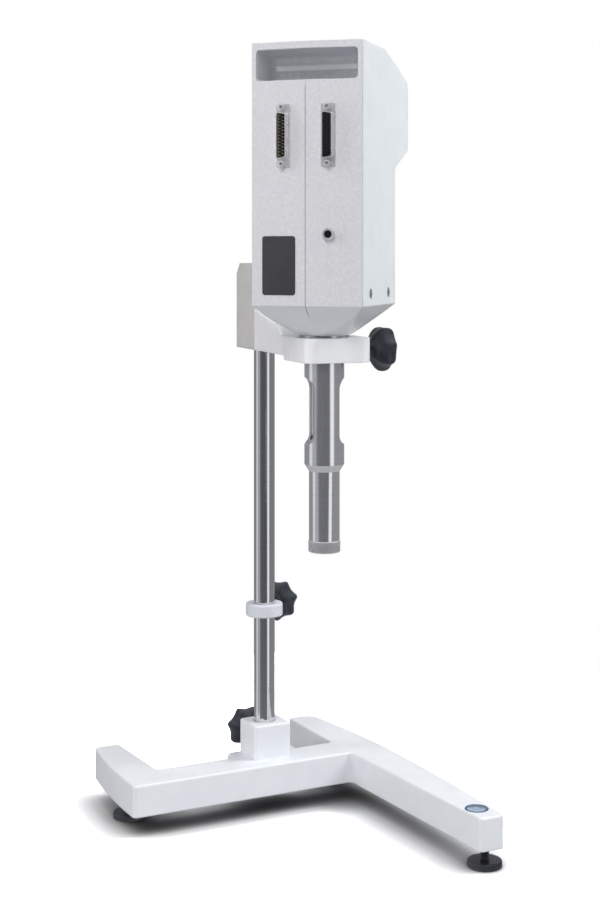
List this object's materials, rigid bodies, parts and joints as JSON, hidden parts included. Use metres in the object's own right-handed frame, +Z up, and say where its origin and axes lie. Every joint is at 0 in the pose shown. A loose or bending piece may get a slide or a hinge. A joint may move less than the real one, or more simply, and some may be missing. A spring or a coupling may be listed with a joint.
{
  "type": "viscometer",
  "caption": "Rotational viscometer: a measuring head with a bob in a windowed tube, held by a sliding arm on a round column with a three-footed base.",
  "frame": {"origin": "on the bench, under the middle of the base's outline", "axes": "+Z up, the long leg of the base points to -Y, the column stands towards +Y"},
  "size_m": [0.2608, 0.3446, 0.7005],
  "materials": {
    "base_paint": "satin",
    "arm_paint": "satin",
    "block_paint": "satin",
    "cover_paint": "satin",
    "panel_paint": "textured",
    "recess_liner": "textured",
    "polished_steel": "polished",
    "black_plastic": "satin",
    "dark_steel": "blackened",
    "bright_zinc": "plated",
    "contact_gold": "plated",
    "insulator": "moulded",
    "label_foil": "printed",
    "level_metal": "anodised",
    "level_fluid": "clear",
    "level_glass": "polished",
    "display_glass": "polished",
    "display_cell": "moulded",
    "key_rubber": "moulded",
    "circuit_board": "lacquered",
    "chassis_metal": "plain",
    "motor_metal": "plain",
    "bush_metal": "turned"
  },
  "bodies": {
    "base": {"base_casting": "base_paint", "level_body": "level_metal", "level_fluid": "level_fluid", "level_glass": "level_glass"},
    "base_knob": {"base_clamp_screw": "polished_steel", "base_clamp_knob": "black_plastic"},
    "column": {"column_rod": "polished_steel"},
    "collar": {"stop_collar": "arm_paint"},
    "collar_knob": {"collar_clamp_screw": "polished_steel", "collar_clamp_knob": "black_plastic"},
    "arm": {"column_clamp_block": "block_paint", "support_arm": "arm_paint", "arm_fixing_screws": "dark_steel"},
    "arm_knob": {"arm_clamp_screw": "polished_steel", "arm_clamp_knob": "black_plastic"},
    "head_knob": {"head_clamp_screw": "polished_steel", "head_clamp_knob": "black_plastic"},
    "head": {"neck_flange": "motor_metal", "guide_bush": "bush_metal", "lower_housing": "cover_paint", "rear_cover": "panel_paint", "front_cover": "cover_paint", "grip_recess": "recess_liner", "dsub_left_shell": "bright_zinc", "dsub_left_insert": "insulator", "dsub_left_pins": "contact_gold", "dsub_left_jacks": "bright_zinc", "dsub_right_shell": "bright_zinc", "dsub_right_insert": "insulator", "dsub_right_jacks": "bright_zinc", "round_socket_shell": "bright_zinc", "round_socket_insert": "insulator", "label_plate": "label_foil", "side_screws": "bright_zinc", "display_window": "display_glass", "display_module": "display_cell", "key_board": "circuit_board", "chassis": "chassis_metal", "torque_sensor": "chassis_metal", "motor_mount": "chassis_metal", "gear_motor": "motor_metal", "main_board": "circuit_board", "interface_board": "circuit_board", "measuring_tube": "polished_steel"},
    "rotor": {"drive_shaft": "polished_steel", "coupling": "chassis_metal", "bob_shaft": "polished_steel", "bob": "polished_steel"},
    "end_cap": {"end_cap": "polished_steel"},
    "front_foot": {"front_foot_disc": "dark_steel", "front_foot_stud": "dark_steel"},
    "rear_foot": {"rear_foot_disc": "dark_steel", "rear_foot_stud": "dark_steel"},
    "left_foot": {"left_foot_disc": "dark_steel", "left_foot_stud": "dark_steel"},
    "key_1": {"key_1": "key_rubber"},
    "key_2": {"key_2": "key_rubber"},
    "key_3": {"key_3": "key_rubber"},
    "key_4": {"key_4": "key_rubber"},
    "key_5": {"key_5": "key_rubber"}
  },
  "joints": [
    {"name": "column_turn", "type": "hinge", "parent": "base", "child": "column", "pos_m": [0.0179, 0.07825, 0.0245], "axis": [0, 0, 1], "range_deg": [-45, 25]},
    {"name": "arm_lift", "type": "slide", "parent": "column", "child": "arm", "axis": [0, 0, 1], "range_m": [-0.24, 0.005]},
    {"name": "collar_slide", "type": "slide", "parent": "column", "child": "collar", "axis": [0, 0, 1], "range_m": [-0.099, 0.24]},
    {"name": "head_turn", "type": "hinge", "parent": "arm", "child": "head", "pos_m": [-0.00464, -0.08419, 0.4515], "axis": [0, 0, 1], "continuous": true},
    {"name": "bob_spin", "type": "hinge", "parent": "head", "child": "rotor", "pos_m": [-0.00464, -0.08419, 0.47], "axis": [0, 0, 1], "continuous": true},
    {"name": "cap_turn", "type": "hinge", "parent": "head", "child": "end_cap", "pos_m": [-0.00464, -0.08419, 0.2773], "axis": [0, 0, 1], "continuous": true},
    {"name": "base_knob_turn", "type": "hinge", "parent": "base", "child": "base_knob", "pos_m": [0.0179, 0.07825, 0.062], "axis": [0, 1, 0], "range_deg": [-720, 0]},
    {"name": "collar_knob_turn", "type": "hinge", "parent": "collar", "child": "collar_knob", "pos_m": [0.0179, 0.07825, 0.1845], "axis": [0.7071, 0.7071, 0], "range_deg": [-720, 0]},
    {"name": "arm_knob_turn", "type": "hinge", "parent": "arm", "child": "arm_knob", "pos_m": [0.0179, 0.07825, 0.49], "axis": [0.9905, -0.1374, 0], "range_deg": [-720, 0]},
    {"name": "head_knob_turn", "type": "hinge", "parent": "arm", "child": "head_knob", "pos_m": [-0.00464, -0.08419, 0.441], "axis": [0.9905, -0.1374, 0], "range_deg": [-720, 0]},
    {"name": "front_foot_turn", "type": "hinge", "parent": "base", "child": "front_foot", "pos_m": [0.1119, -0.15675, 0.006], "axis": [0, 0, 1], "continuous": true},
    {"name": "rear_foot_turn", "type": "hinge", "parent": "base", "child": "rear_foot", "pos_m": [0.1019, 0.15225, 0.006], "axis": [0, 0, 1], "continuous": true},
    {"name": "left_foot_turn", "type": "hinge", "parent": "base", "child": "left_foot", "pos_m": [-0.1121, 0.09825, 0.006], "axis": [0, 0, 1], "continuous": true},
    {"name": "key_1_press", "type": "slide", "parent": "head", "child": "key_1", "axis": [-0.7133, -0.7009, 0], "range_m": [0, 0.001], "stiffness_N_per_m": 300, "springref_m": -0.002},
    {"name": "key_2_press", "type": "slide", "parent": "head", "child": "key_2", "axis": [-0.7133, -0.7009, 0], "range_m": [0, 0.001], "stiffness_N_per_m": 300, "springref_m": -0.002},
    {"name": "key_3_press", "type": "slide", "parent": "head", "child": "key_3", "axis": [-0.7133, -0.7009, 0], "range_m": [0, 0.001], "stiffness_N_per_m": 300, "springref_m": -0.002},
    {"name": "key_4_press", "type": "slide", "parent": "head", "child": "key_4", "axis": [-0.7133, -0.7009, 0], "range_m": [0, 0.001], "stiffness_N_per_m": 300, "springref_m": -0.002},
    {"name": "key_5_press", "type": "slide", "parent": "head", "child": "key_5", "axis": [-0.7133, -0.7009, 0], "range_m": [0, 0.001], "stiffness_N_per_m": 300, "springref_m": -0.002}
  ]
}
